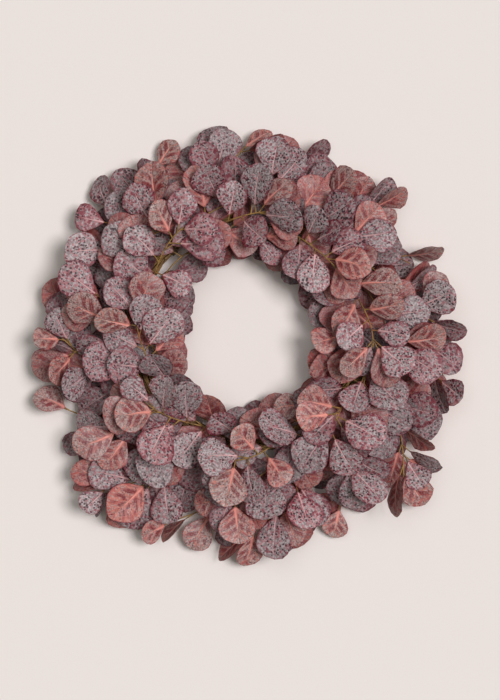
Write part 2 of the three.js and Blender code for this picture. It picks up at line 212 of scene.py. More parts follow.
def drawLeaf(draws, stem, place, side, share, plan):
    root = stem.free(place)
    step = plan["wayStep"]
    ahead = stem.free(min(place + step, 1)) - stem.free(place - step)
    if side:
        turn = side * draws.widening(plan["sideTurn"], share)
    else:
        turn = draws.widening(plan["tipTurn"], share)
    heading = math.atan2(ahead[1], ahead[0]) + math.radians(turn)
    pitch = math.radians(draws.widening(plan["pitch"], share))
    roll = math.radians(draws.widening(plan["roll"], share))
    size = lerp(*plan["length"], place) * draws.widening(plan["lengthShare"], share)
    width = size * draws.between(plan["width"])
    stalk = draws.between(plan["stalk"] if side else plan["tipStalk"])
    cup = draws.between(plan["cup"])
    droop = draws.between(plan["droop"])
    level = np.array((-math.sin(heading), math.cos(heading), 0))
    along = onRing(math.cos(pitch), math.degrees(heading), math.sin(pitch))
    upright = np.cross(along, level)
    return withTests({
        "root": root, "base": root + along * stalk, "along": along,
        "across": level * math.cos(roll) + upright * math.sin(roll),
        "up": upright * math.cos(roll) - level * math.sin(roll),
        "length": size, "width": width, "stalk": stalk, "cup": cup, "droop": droop,
    })


def withTests(leaf):  # and the points where the leaf is tested against its neighbours
    shares, sides = np.meshgrid(leafPlan["lengthTests"], leafPlan["widthTests"], indexing="ij")
    stalk = onBlade(leaf, -leaf["stalk"] * np.array(leafPlan["stalkTests"]), 0)
    across = sides * halfWidth(leaf["width"], shares) * ((shares > 0) & (shares < 1))
    blade = onBlade(leaf, shares * leaf["length"], across)
    leaf["points"] = np.concatenate((stalk, blade.reshape(-1, 3)))
    leaf["middle"] = onBlade(leaf, leaf["length"] / 2, 0)
    return leaf


def crossings(points, leaf, gap, margin):
    # For each row of points, whether they lie on both sides of the blade or too near it. Both may be stacks.
    away = points - leaf["base"]
    x, y, z = ((away * leaf[way]).sum(-1) for way in ("along", "across", "up"))
    share = x / leaf["length"]
    half = halfWidth(leaf["width"], share) * ((share > 0) & (share < 1))
    over = (x >= -margin) & (x <= leaf["length"] + margin) & (np.abs(y) <= half + margin)
    rise = z - bladeHeight(leaf, x, y)
    near = (over & (np.abs(rise) < gap)).any(-1)
    return near | ((over & (rise > 0)).any(-1) & (over & (rise <= 0)).any(-1))


def allowed(points, plan):
    radius = np.hypot(points[:, 0], points[:, 1])
    angle = np.degrees(np.arctan2(points[:, 1], points[:, 0]))
    spacing = 360 / bindingCount
    fromBinding = np.abs(angle - spacing * np.floor(angle / spacing + 0.5))
    margin = leafPlan["hoopMargin"]
    atBinding = np.radians(fromBinding) * hoopRadius / mm < outline["bindingHalfWidth"] + margin
    keepOut = margin + np.where(atBinding, outline["bindingReach"], outline["caneReach"])
    beyond = roundTheRing(plan["beyond"], angle)
    inside = radius < roundTheRing(outline["outer"], angle) + beyond
    inside &= radius > roundTheRing(outline["hole"], angle) - np.minimum(beyond, outline["intoHole"])
    clear = np.hypot(radius - hoopRadius / mm, points[:, 2] - hoopHeight) > keepOut
    for x, y, reach in outline["peeks"]:
        aside = np.hypot(points[:, 0] - x, points[:, 1] - y) > reach * plan["peekShare"]
        clear &= aside | (points[:, 2] < plan["underPeek"])
    return bool((inside & clear & (points[:, 2] > leafPlan["tableClearance"])).all())


def outOfHole(points, stem, hullClear):  # with hullClear, a hull round the whole spray stays out of it too
    if hullClear:
        return bool((points[:, :2] @ stem.outward > stem.wayReach + leafPlan["holeMargin"]).all())
    low, high = np.array(outline["holeWay"])
    over = (points[:, :2] > low - leafPlan["holeMargin"]) & (points[:, :2] < high + leafPlan["holeMargin"])
    return not over.all(axis=1).any()


class Thicket:  # all the stems, and the leaves placed on them so far
    def __init__(self):
        self.draws = Draws(leafPlan["seed"])
        angles = [i * 360 / bindingCount for i in range(bindingCount)]
        self.stems = [Stem(self.draws, angle, kind) for kind in sprayKinds for angle in angles]
        self.stemPoints = np.array([stem.points for stem in self.stems])
        self.leaves = []

    def put(self, i, leaf):  # and stack the traits of all the leaves, with an axis for the points they meet
        self.leaves[i:i + 1] = [leaf]
        self.stack = {key: np.array([each[key] for each in self.leaves]) for key in ("points", "middle")}
        for key in ("base", "along", "across", "up", "length", "width", "cup", "droop"):
            self.stack[key] = np.array([each[key] for each in self.leaves])[:, None]

    def keep(self, leaf, stem):
        self.put(len(self.leaves), leaf)
        stem.leaves.append(leaf)

    def room(self, leaf):
        if not self.leaves:
            return math.inf
        away = self.stack["middle"][:, :2] - leaf["middle"][:2]
        return float(np.hypot(away[:, 0], away[:, 1]).min())

    def isClear(self, leaf, stem, plan, itself=None):
        points, gap, margin = leaf["points"], plan["gap"], plan["margin"]
        if not outOfHole(points, stem, plan["hullClear"]) or not allowed(points, plan):
            return False
        pairs = ((points, self.stack), (self.stack["points"], leaf)) if self.leaves else ()
        for tested, blade in pairs:
            touched = crossings(tested, blade, gap, margin)
            if itself is not None:
                touched[itself] = False
            if touched.any():
                return False
        others = self.stemPoints[[other is not stem for other in self.stems]]
        return not crossings(others, leaf, gap, margin).any()

    def bestOf(self, stem, plan, pick, worth, least):  # the best clear leaf of the tries
        best, most = None, least
        for tryNumber in range(plan["tries"]):
            place, side = pick()
            leaf = drawLeaf(self.draws, stem, place, side, tryNumber / plan["tries"], plan)
            value = worth(leaf)
            if value > most and self.isClear(leaf, stem, plan):
                best, most = leaf, value
        return best

    def grow(self):  # the CAD's leaves
        for stem in self.stems:
            count = stem.kind["leaves"]
            for i in range(count, 0, -1):
                side = 0 if i == count else (1 if i % 2 else -1)

                def pick():
                    if not side:
                        return leafPlan["tipPlace"], side
                    return (i + self.draws.between(leafPlan["placeShift"])) / count, side

                best = self.bestOf(stem, leafPlan, pick, self.room, -math.inf)
                if best:
                    self.keep(best, stem)

    def swell(self):  # each leaf grows about its middle as far as its neighbours leave room
        for stem in self.stems:
            for i, leaf in enumerate(stem.leaves):
                itself = next(k for k, other in enumerate(self.leaves) if other is leaf)
                for size in swellPlan["sizes"]:
                    grown = swollen(leaf, size)
                    if self.isClear(grown, stem, swellPlan, itself):
                        stem.leaves[i] = grown
                        self.put(itself, grown)
                        break

    def addMore(self, plan, cover, worth):  # each round, a stem gets at most one leaf, the best of its tries
        def pick():
            return self.draws.between(plan["place"]), 1 if self.draws.next() < 0.5 else -1

        def value(leaf):
            return worth(leaf) * self.draws.between(plan["whim"])

        before = len(self.leaves)
        for _ in range(plan["rounds"]):
            for stem in self.stems:
                if sprayKinds.index(stem.kind) in plan["kinds"]:
                    best = self.bestOf(stem, plan, pick, value, plan["leastWorth"])
                    if best:
                        self.keep(best, stem)
                        cover.add(best, plan["isCrown"])
        return len(self.leaves) - before


# Leaves that the finer piece adds: wide ones on top, some that stand on edge at the outside, and then
# whatever hides bare floor, canes and stems. The whim keeps some good leaves that aren't the very best.
looser = {
    "margin": 1.0, "peekShare": 0.8, "underPeek": 0, "hullClear": False, "whim": (1, 1), "isCrown": False,
}
swellPlan = {**looser, "sizes": (1.15, 1.1, 1.05), "gap": 1.3, "beyond": (0,)}
crownPlan = {
    **leafPlan, **looser, "kinds": (0, 1, 2, 3), "rounds": 3, "tries": 110, "place": (0.1, 0.97),
    "isCrown": True, "lengthShare": ((1.0, 1.2), (0.9, 1.1)), "pitch": ((4, 36), (-16, 46)),
    "roll": ((-34, 34), (-48, 48)), "sideTurn": ((20, 60), (20, 110)), "gap": 1.3,
    "beyond": (-6,), "leastWorth": 700, "whim": (0.6, 1),
}
edgePlan = {
    **leafPlan, **looser, "kinds": (2, 3, 4), "rounds": 3, "tries": 130, "place": (0.4, 0.97),
    "lengthShare": ((0.95, 1.15), (0.85, 1.0)), "pitch": ((-4, 24), (-12, 30)),
    "roll": ((56, 74), (46, 80)), "cup": (0.2, 0.7), "sideTurn": ((10, 50), (10, 80)), "gap": 1.2,
    "beyond": (8, 30, 14, 2, 0, 4, 0, 2, 4, 14, 14, 4), "leastWorth": 180, "whim": (0.7, 1),
}
fillPlan = {
    **leafPlan, **looser, "kinds": (0, 1, 2, 3), "rounds": 6, "tries": 160, "place": (0.05, 0.97),
    "sideTurn": ((24, 70), (10, 130)), "gap": 1.1, "beyond": (-5,),
    "peekShare": 0.45, "underPeek": 21, "leastWorth": 150,
}
coverPlan = {
    "cell": 3, "reach": 300, "under": 3, "pathDetail": 4,
    "shares": (0.06, 0.94, 12), "sides": (-0.92, 0.92, 11),
}


def swollen(leaf, size):
    back = min(leaf["length"] * (size - 1) / 2, leaf["stalk"] / 2)
    grown = {**leaf, "length": leaf["length"] * size, "width": leaf["width"] * size}
    grown["base"] = leaf["base"] - leaf["along"] * back
    grown["stalk"] = leaf["stalk"] - back
    return withTests(grown)


class Cover:  # how high the leaves and the stems reach in each cell of the plan, and where crown leaves lie
    def __init__(self, stems, leaves):
        grid = (2 * coverPlan["reach"] // coverPlan["cell"],) * 2
        self.leafTop, self.stemTop, self.crowned = np.full(grid, -1.0), np.zeros(grid), np.zeros(grid, bool)
        spread = (np.linspace(*coverPlan[key]) for key in ("shares", "sides"))
        self.shares, self.sides = np.meshgrid(*spread)
        for stem in stems:
            count = len(stem.points)
            fine, steps = np.linspace(0, count - 1, coverPlan["pathDetail"] * count), np.arange(count)
            path = np.stack([np.interp(fine, steps, stem.points[:, k]) for k in range(3)], -1)
            np.maximum.at(self.stemTop, self.cells(path), path[:, 2])
        for leaf in leaves:
            self.add(leaf, False)

    def cells(self, points):
        index = ((points[..., :2] + coverPlan["reach"]) / coverPlan["cell"]).astype(int)
        return index[..., 0], index[..., 1]

    def spread(self, leaf):
        across = self.sides * halfWidth(leaf["width"], self.shares)
        points = onBlade(leaf, self.shares * leaf["length"], across)
        return points[..., 2], self.cells(points)

    def add(self, leaf, isCrown):
        heights, cells = self.spread(leaf)
        np.maximum.at(self.leafTop, cells, heights)
        if isCrown:
            self.crowned[cells] = True

    def bareUnder(self, leaf):  # how much bare floor, cane or stem the blade hides, in square millimetres
        heights, cells = self.spread(leaf)
        bare = (self.leafTop[cells] < self.stemTop[cells]) & (heights > self.stemTop[cells])
        return float(bare.mean()) * leaf["length"] * leaf["width"]

    def hidden(self, leaf):  # the share of the blade that lies under other leaves
        heights, cells = self.spread(leaf)
        return float((self.leafTop[cells] > heights + coverPlan["under"]).mean())

    def onTop(self, leaf):  # how much of the blade lies on top, beside the other crown leaves
        heights, cells = self.spread(leaf)
        free = (heights > self.leafTop[cells]) & (heights > self.stemTop[cells]) & ~self.crowned[cells]
        return float(free.mean()) * leaf["length"] * leaf["width"] * (self.leafTop[cells] > 0).mean()


thicket = Thicket()
thicket.grow()
print("leaves by the CAD's rule:", len(thicket.leaves))
thicket.swell()
cover = Cover(thicket.stems, thicket.leaves)
print("on top:", thicket.addMore(crownPlan, cover, cover.onTop))
print("on edge:", thicket.addMore(edgePlan, cover, cover.bareUnder))
print("in the gaps:", thicket.addMore(fillPlan, cover, cover.bareUnder))


# Small helpers for node trees. A Wire is an output socket that Python's operators can work with.
class Wire:
    def __init__(self, tree, socket):
        self.tree, self.socket = tree, socket

    def __abs__(self):
        return calculate("ABSOLUTE", self)


def giveOperator(name, operation):
    setattr(Wire, f"__{name}__", lambda self, other: calculate(operation, self, other))
    setattr(Wire, f"__r{name}__", lambda self, other: calculate(operation, other, self))


operators = {"add": "ADD", "sub": "SUBTRACT", "mul": "MULTIPLY", "truediv": "DIVIDE", "pow": "POWER"}
for name, operation in operators.items():
    giveOperator(name, operation)


def addNode(tree, kind, inputs=(), **settings):
    node = tree.nodes.new(kind)
    for name, value in settings.items():
        setattr(node, name, value)
    for key, value in dict(inputs).items():
        if isinstance(value, Wire):
            tree.links.new(value.socket, node.inputs[key])
        else:
            node.inputs[key].default_value = value
    return node


def outsOf(tree, kind, inputs=(), **settings):
    return [Wire(tree, socket) for socket in addNode(tree, kind, inputs, **settings).outputs]


def outOf(tree, kind, inputs=(), output=0, **settings):
    return Wire(tree, addNode(tree, kind, inputs, **settings).outputs[output])


def treeOf(values):
    return next(value.tree for value in values if isinstance(value, Wire))


def calculate(operation, *values):
    return outOf(treeOf(values), "ShaderNodeMath", enumerate(values), operation=operation)


def combine(operation, a, b):  # of vectors; SCALE takes its factor at input 3
    inputs = {0: a, (3 if operation == "SCALE" else 1): b}
    return outOf(treeOf((a, b)), "ShaderNodeVectorMath", inputs, operation=operation)


def scaled(vector, factor):
    return combine("SCALE", vector, factor)


def ramp(value, low, high):  # a smooth step from 0 at low to 1 at high
    keys = {"Value": value, "From Min": low, "From Max": high}
    return outOf(value.tree, "ShaderNodeMapRange", keys, interpolation_type="SMOOTHSTEP")


def blend(factor, a, b):  # of two colours
    return outOf(factor.tree, "ShaderNodeMix", {0: factor, 6: a, 7: b}, 2, data_type="RGBA")


def split(vector):
    return outsOf(vector.tree, "ShaderNodeSeparateXYZ", {0: vector})


def join(x, y, z):
    return outOf(treeOf((x, y, z)), "ShaderNodeCombineXYZ", {0: x, 1: y, 2: z})


def noise(vector, scale=1.0, detail=2.0, roughness=0.5):
    keys = {"Vector": vector, "Scale": scale, "Detail": detail, "Roughness": roughness}
    return outOf(vector.tree, "ShaderNodeTexNoise", keys)


def linear(colour):  # from red, green and blue of 0 to 255
    parts = [value / 255 for value in colour]
    return tuple(v / 12.92 if v <= 0.04045 else ((v + 0.055) / 1.055) ** 2.4 for v in parts) + (1.0,)


def newTree(name, inputs):  # each input is given its first value, or else its type
    tree = bpy.data.node_groups.new(name, ("Geometry" if "Geometry" in inputs else "Shader") + "NodeTree")
    for label, value in inputs.items():
        socketType = {float: "Float", int: "Int"}.get(type(value), value)
        socket = tree.interface.new_socket(label, in_out="INPUT", socket_type="NodeSocket" + socketType)
        if value != socketType:
            socket.default_value = value
    given = addNode(tree, "NodeGroupInput")
    return tree, {label: Wire(tree, given.outputs[label]) for label in inputs}


def endTree(tree, results):
    for label, wire in results.items():
        socketType = {"VALUE": "Float", "VECTOR": "Vector", "GEOMETRY": "Geometry"}[wire.socket.type]
        tree.interface.new_socket(label, in_out="OUTPUT", socket_type="NodeSocket" + socketType)
    addNode(tree, "NodeGroupOutput", results)
    tidyTree(tree)
    return tree


def tidyTree(tree):  # lays the nodes out in columns, each one left of what it feeds
    columnWidth, rowHeight = 220, 180
    depth = dict.fromkeys(tree.nodes.keys(), 0)
    for _ in tree.nodes:
        for link in tree.links:
            depth[link.from_node.name] = max(depth[link.from_node.name], depth[link.to_node.name] + 1)
    rows = {}
    for node in tree.nodes:
        column = depth[node.name]
        node.location = (-columnWidth * column, -rowHeight * rows.get(column, 0))
        rows[column] = rows.get(column, 0) + 1


def putInScene(name, data):
    thing = bpy.data.objects.new(name, data)
    bpy.context.scene.collection.objects.link(thing)
    return thing


def growMesh(name, source, tree, values):  # the plain mesh that a tree makes of a source mesh
    sketch = putInScene(name + "Sketch", source)
    modifier = sketch.modifiers.new("grow", "NODES")
    modifier.node_group = tree
    for item in tree.interface.items_tree:
        if item.in_out == "INPUT" and item.name in values:
            modifier[item.identifier] = values[item.name]
    grown = sketch.evaluated_get(bpy.context.evaluated_depsgraph_get())
    mesh = bpy.data.meshes.new_from_object(grown)
    sketch.modifiers.remove(modifier)
    bpy.data.objects.remove(sketch)
    mesh.name = name
    return putInScene(name, mesh)


def geo(kind, inputs, output=0, **settings):  # a Geometry Nodes node in the tree of its inputs
    return outOf(treeOf(inputs.values()), "GeometryNode" + kind, inputs, output, **settings)


def attribute(tree, name, kind="FLOAT"):  # of the geometry, in a Geometry Nodes tree
    return outOf(tree, "GeometryNodeInputNamedAttribute", {"Name": name}, "Attribute", data_type=kind)


def store(geometry, name, value, kind="FLOAT"):
    keys = {"Geometry": geometry, "Name": name, "Value": value}
    return geo("StoreNamedAttribute", keys, data_type=kind, domain="POINT")


def paint(geometry, material, selection=True):
    return geo("SetMaterial", {"Geometry": geometry, "Selection": selection, "Material": material})


def smooth(geometry):
    return geo("SetShadeSmooth", {"Geometry": geometry})


def sweep(curve, profile, inputs):
    return geo("CurveToMesh", {"Curve": curve, "Profile Curve": profile, **inputs})


def circle(sides, radius=1.0):
    return geo("CurvePrimitiveCircle", {"Resolution": sides, "Radius": radius})


def realize(geometry):
    return geo("RealizeInstances", {"Geometry": geometry})


# Shader groups that several finishes share. Plan is the place on the flat leaf in metres. Place holds it as
# shares of the length and of the half width. Drift tells leaves apart.
leafSpot = {"Plan": "Vector", "Drift": 0.0}
dotShape = {"waver": 0.45, "waverScale": 1.4, "edge": (-0.07, 0.04)}
mottleShape = {"level": 0.66, "levelSpan": 0.32, "roughness": 0.6}
veinShape = {
    "waver": 0.0012, "levelWaver": 0.003, "waverScale": 90.0, "taper": 1.25, "midribEdge": (0.4, 1.3),
    "bow": 14, "stagger": 0.45, "driftSteps": 7, "edge": (0.3, 1.4), "fade": (0.55, 0.98),
    "fields": (0.12, 0.3), "middle": 0.0002,
}
rimShape = {"waverScale": 260.0, "edge": 2.4}


def onPlan(given):
    x, y, _ = split(given["Plan"])
    return x, y, join(x, y, given["Drift"])


def makeSpecks():  # separate dots that crowd together in places
    keys = {"Size": 0.0024, "Reach": 0.3, "Crowding": 0.3, "Crowd size": 0.012}
    tree, given = newTree("specks", {**leafSpot, **keys})
    _, _, place = onPlan(given)
    fine = scaled(place, 1 / given["Size"])
    keys = {"Vector": fine, "Scale": dotShape["waverScale"], "Detail": 1.0}
    waver = outOf(tree, "ShaderNodeTexNoise", keys, "Color")
    bent = combine("ADD", fine, scaled(waver, dotShape["waver"]))
    dots = outOf(tree, "ShaderNodeTexVoronoi", {"Vector": bent, "Scale": 1.0})
    crowd = noise(scaled(place, 1 / given["Crowd size"]), detail=1.0) - 0.5
    reach = given["Reach"] + crowd * given["Crowding"] * 2
    inner, outer = dotShape["edge"]
    return endTree(tree, {"Mask": 1 - ramp(dots, reach + inner, reach + outer)})


def makeMottle():  # soft-edged patches
    tree, given = newTree("mottle", {**leafSpot, "Size": 0.003, "Amount": 0.5, "Softness": 0.1})
    _, _, place = onPlan(given)
    cloud = noise(scaled(place, 1 / given["Size"]), roughness=mottleShape["roughness"])
    level = mottleShape["level"] - given["Amount"] * mottleShape["levelSpan"]
    return endTree(tree, {"Mask": ramp(cloud, level - given["Softness"], level + given["Softness"])})


def makeVeins():  # the midrib, the side veins, the fields between those, and the way the veins run
    tree, given = newTree("leafVeins", {
        **leafSpot, "Place": "Vector", "Spacing": 0.0062, "Slope": 0.75, "Midrib width": 0.0009,
        "Vein width": 0.0005, "Flow stretch": 0.46,
    })
    x, y, drifted = onPlan(given)
    share, side, _ = split(given["Place"])
    waver = noise(scaled(drifted, veinShape["waverScale"]), detail=1.0) - 0.5
    away = abs(y + waver * veinShape["waver"])
    opposite = ramp(y, -veinShape["middle"], veinShape["middle"]) * veinShape["stagger"]
    level = x - away * given["Slope"] + away * away * veinShape["bow"]
    steps = (level + waver * veinShape["levelWaver"]) / given["Spacing"] + opposite
    fromVein = calculate("PINGPONG", steps + given["Drift"] * veinShape["driftSteps"], 0.5) * given["Spacing"]

    def band(distance, width, edge):
        inner, outer = veinShape[edge]
        return 1 - ramp(distance, width * inner, width * outer)

    return endTree(tree, {
        "Midrib": band(away, given["Midrib width"] * (veinShape["taper"] - share), "midribEdge"),
        "Side veins": band(fromVein, given["Vein width"], "edge") * (1 - ramp(abs(side), *veinShape["fade"])),
        "Fields": ramp(fromVein / given["Spacing"], *veinShape["fields"]),
        "Flow": join(level, y * given["Flow stretch"], 0.0),
    })


def makeRim():  # a band along the leaf's edge
    tree, given = newTree("leafRim", {**leafSpot, "Place": "Vector", "Half width": 0.02, "Width": 0.001})
    _, _, drifted = onPlan(given)
    _, side, _ = split(given["Place"])
    inside = (1 - abs(side)) * given["Half width"]
    width = given["Width"] * noise(scaled(drifted, rimShape["waverScale"]))
    return endTree(tree, {"Mask": 1 - ramp(inside, width, width * rimShape["edge"])})


specks, mottle, leafVeins, leafRim = makeSpecks(), makeMottle(), makeVeins(), makeRim()


class Finish:  # a material on its way: its tree, its look and, on a leaf, what the shared groups need
    def __init__(self, name, look):
        self.look = look
        self.material = bpy.data.materials.new(name)
        self.material.use_nodes = True
        self.tree = self.material.node_tree
        self.tree.nodes.clear()

    def attribute(self, name, output="Fac"):
        return outOf(self.tree, "ShaderNodeAttribute", output=output, attribute_name=name)

    def onObject(self):
        return outOf(self.tree, "ShaderNodeTexCoord", output="Object")

    def onLeaf(self):  # shares of the length and the half width, the drift, and how red the leaf is
        self.spot = {key: self.attribute(key.lower(), "Vector") for key in ("Plan", "Place")}
        self.spot["Drift"] = self.attribute("drift")
        share, side, _ = split(self.spot["Place"])
        return share, side, self.spot["Drift"], self.attribute("flush")

    def group(self, kind, inputs):
        known = kind.interface.items_tree.keys()
        keys = {key: wire for key, wire in self.spot.items() if key in known}
        return outsOf(self.tree, "ShaderNodeGroup", {**keys, **inputs}, node_tree=kind)

    def mask(self, kind, inputs):
        return self.group(kind, inputs)[0]

    def rim(self, width):
        return self.mask(leafRim, {"Half width": self.attribute("half"), "Width": width})

    def layered(self, lowest, *layers):  # colours of the look, each laid over those before it by its mask
        colour = linear(self.look[lowest])
        for mask, name in layers:
            colour = blend(mask, colour, linear(self.look[name]))
        return colour

    def end(self, colour, height, roughness):
        keys = {"Height": height, "Distance": self.look["relief"]}
        shader = outOf(self.tree, "ShaderNodeBsdfPrincipled", {
            "Base Color": colour, "Roughness": roughness,
            "Normal": outOf(self.tree, "ShaderNodeBump", keys, "Normal"),
        })
        addNode(self.tree, "ShaderNodeOutputMaterial", {"Surface": shader})
        tidyTree(self.tree)
        return self.material


speckledLook = {
    "ground": (148, 134, 135), "cloud": (122, 104, 105), "pale": (198, 184, 186),
    "rose": (188, 104, 112), "wine": (126, 32, 52), "speck": (48, 18, 28),
    "midrib": (234, 184, 186), "rim": (116, 32, 46), "base": (224, 144, 140),
    "speckSize": 0.0034, "speckReach": 0.3, "relief": 0.0003,
}
veinedLook = {
    "ground": (152, 130, 126), "cloud": (126, 100, 95), "pale": (194, 175, 170),
    "coral": (212, 111, 95), "red": (164, 52, 54), "blotch": (116, 28, 36),
    "speck": (66, 24, 34), "midrib": (244, 156, 143), "rim": (134, 42, 52),
    "fieldReach": 0.84, "relief": 0.0004,
}
undersideLook = {
    "ground": (172, 92, 72), "cloud": (146, 72, 60), "vein": (112, 56, 44),
    "mauve": (138, 100, 100), "relief": 0.0003,
}
stemLook = {
    "bark": (153, 117, 62), "shade": (86, 60, 34), "blush": (150, 86, 58), "relief": 0.0004,
}


def makeSpeckledLeaf(look):
    finish = Finish("speckledLeaf", look)
    share, _, drift, flush = finish.onLeaf()
    midrib, sideVeins, *_ = finish.group(leafVeins, {"Vein width": 0.0004})
    clouds = finish.mask(mottle, {"Size": 0.011, "Amount": 0.5, "Softness": 0.14})
    pale = finish.mask(mottle, {"Size": 0.0024, "Amount": 0.44, "Softness": 0.06})
    rose = finish.mask(mottle, {
        "Drift": drift + 0.2, "Size": 0.003, "Amount": 0.22 + flush * 0.4, "Softness": 0.04,
    })
    dots = finish.mask(specks, {
        "Size": look["speckSize"], "Reach": look["speckReach"], "Crowding": 0.26, "Crowd size": 0.016,
    })
    redDots = finish.mask(specks, {
        "Drift": drift + 0.5, "Size": 0.0044, "Reach": 0.24 + flush * 0.2, "Crowding": 0.4,
        "Crowd size": 0.012,
    })
    patches = finish.mask(mottle, {"Size": 0.0046, "Amount": 0.2 + flush * 0.6})
    colour = finish.layered(
        "ground", (clouds * 0.7, "cloud"), (pale * 0.8, "pale"), (rose * 0.6, "rose"),
        (ramp(share, 0.26, 0.02) * (0.25 + flush * 0.6), "base"),
        (finish.rim(0.0045) * patches * 0.7, "wine"), (redDots * 0.8, "wine"), (dots * 0.95, "speck"),
        (sideVeins * 0.15, "pale"), (midrib * ramp(share, 1.05, 0.5) * 0.85, "midrib"),
        # the shade attribute darkens the leaf towards the speck colour: random tone, plus painted shade where
        # other leaves cover it
        (finish.rim(0.0009) * 0.75, "rim"), (finish.attribute("shade"), "speck"),
    )
    return finish.end(colour, dots * -0.4 - midrib - sideVeins * 0.5, 0.5 + rose * 0.12)


def makeVeinedLeaf(look):
    finish = Finish("veinedLeaf", look)
    share, side, drift, flush = finish.onLeaf()
    _, y, _ = split(finish.spot["Plan"])
    midrib, sideVeins, fields, flow = finish.group(leafVeins, {
        "Midrib width": 0.0014, "Spacing": 0.0098, "Slope": 0.95,
    })
    _, fineVeins, *_ = finish.group(leafVeins, {"Spacing": 0.0026, "Vein width": 0.0003, "Slope": 0.95})
    clouds = finish.mask(mottle, {"Plan": flow, "Size": 0.008, "Amount": 0.5, "Softness": 0.14})
    pale = finish.mask(mottle, {"Size": 0.0019, "Amount": 0.44, "Softness": 0.05})
    coral = finish.mask(mottle, {
        "Plan": flow, "Drift": drift + 0.2, "Size": 0.0024, "Amount": 0.15 + flush * 0.42,
        "Softness": 0.04,
    })
    red = finish.mask(mottle, {
        "Plan": flow, "Size": 0.005, "Amount": 0.08 + flush * 0.36, "Softness": 0.07,
    })
    dust = finish.mask(specks, {"Size": 0.0029, "Reach": 0.27, "Crowding": 0.36, "Crowd size": 0.01})
    patchy = finish.mask(mottle, {"Size": 0.013, "Amount": 0.78, "Softness": 0.06})
    away, outwards = abs(y), abs(side)
    beside = ramp(outwards, look["fieldReach"], look["fieldReach"] * 0.6) * ramp(away, 0.0008, 0.0028)
    blotches = fields * beside * patchy * ramp(share, 0.1, 0.2) * ramp(share, 0.9, 0.66) * (1 - pale * 0.3)
    nearMidrib = ramp(away, 0.0045, 0.0006) * ramp(share, 0.55, 0.1)
    glow = calculate("MAXIMUM", ramp(share, 0.24, 0.02), nearMidrib)
    colour = finish.layered(
        "ground", (clouds * 0.6, "cloud"), (pale * 0.8, "pale"), (flush ** 3 * 0.48, "coral"),
        (coral * 0.6, "coral"), (red * 0.6, "red"), (dust * 0.8, "speck"), (glow * 0.64, "midrib"),
        (blotches * 0.95, "blotch"), (fineVeins * 0.16, "pale"), (sideVeins * 0.35, "midrib"),
        (midrib * ramp(share, 0.95, 0.35) * 0.9, "midrib"), (finish.rim(0.001) * 0.7, "rim"),
        # the shade attribute darkens the leaf towards the blotch colour: random tone, plus painted shade
        # where other leaves cover it
        (finish.attribute("shade"), "blotch"),
    )
    height = blotches * 0.5 - midrib * 1.2 - sideVeins * 0.7
    return finish.end(colour, height, 0.47 + coral * 0.12)


def makeLeafUnderside(look):
    finish = Finish("leafUnderside", look)
    *_, flush = finish.onLeaf()
    midrib, sideVeins, *_ = finish.group(leafVeins, {"Midrib width": 0.0011, "Spacing": 0.0074})
    cloud = finish.mask(mottle, {"Size": 0.0036, "Amount": 0.5})
    patches = finish.mask(mottle, {"Size": 0.009, "Amount": 0.5, "Softness": 0.12})
    colour = finish.layered(
        "ground", (cloud * 0.5, "cloud"), (patches * (1 - flush) * 0.8, "mauve"),
        (calculate("MAXIMUM", midrib, sideVeins * 0.7) * 0.6, "vein"),
    )
    return finish.end(colour, midrib * 1.4 + sideVeins, 0.6)


def makeStemBark(look):
    finish = Finish("stemBark", look)
    place = finish.onObject()
    shade = ramp(noise(place, 140.0, 3.0), 0.4, 0.68)
    blush = ramp(noise(place, 45.0, 1.0), 0.52, 0.7)
    colour = finish.layered("bark", (blush * 0.6, "blush"), (shade * 0.8, "shade"))
    return finish.end(colour, shade * -1, 0.6)


speckledLeaf = makeSpeckledLeaf(speckledLook)
veinedLeaf = makeVeinedLeaf(veinedLook)
leafUnderside = makeLeafUnderside(undersideLook)
stemBark = makeStemBark(stemLook)
print("leaf and stem finishes ready")


# One flat leaf that all the others are bent from: its place attribute holds the share of the length, the
# share of the half width and the side, 1 above and -1 below. Both sides share the rim.
leafGrid = {"stations": 8, "columns": 4}


def makeLeafPattern(grid):
    stations, columns = grid["stations"], grid["columns"]
    shares = [0.5 - 0.5 * math.cos(math.pi * (i + 1) / (stations + 1)) for i in range(stations)]
    inner = [2 * j / columns - 1 for j in range(1, columns)]
    ring = [(-1, 0), (1, 0), *((side, face) for face in (1, -1) for side in inner)]
    places = [(0, 0, 0), (1, 0, 0), *((share, *spot) for share in shares for spot in ring)]
    faces = []
    for face, first in ((1, 2), (-1, columns + 1)):
        across = [0, *range(first, first + columns - 1), 1]
        rings = [[2 + i * len(ring) + k for k in across] for i in range(stations)]
        for j in range(columns):
            faces.append([0, rings[0][j], rings[0][j + 1]][::face])
            faces.append([1, rings[-1][j + 1], rings[-1][j]][::face])
            for low, high in zip(rings, rings[1:]):
                around = [high[j], high[j + 1], low[j + 1]]
                faces.append([low[j]] + around[::face])  # from one corner, so both sides fold along one line
    mesh = bpy.data.meshes.new("leafPattern")
    mesh.from_pydata([(u, v * 0.5, 0) for u, v, _ in places], [], faces)
    mesh.attributes.new("place", "FLOAT_VECTOR", "POINT").data.foreach_set("vector", np.ravel(places))
    ends = np.array([edge.vertices[:] for edge in mesh.edges])
    onRim = np.array([face == 0 for _, _, face in places])[ends].all(axis=1)
    onMidrib = np.array([side == 0 for _, side, _ in places])[ends].all(axis=1)
    mesh.attributes.new("sharp_edge", "BOOLEAN", "EDGE").data.foreach_set("value", onRim | onMidrib)
    return putInScene("leafPattern", mesh)


leafPattern = makeLeafPattern(leafGrid)

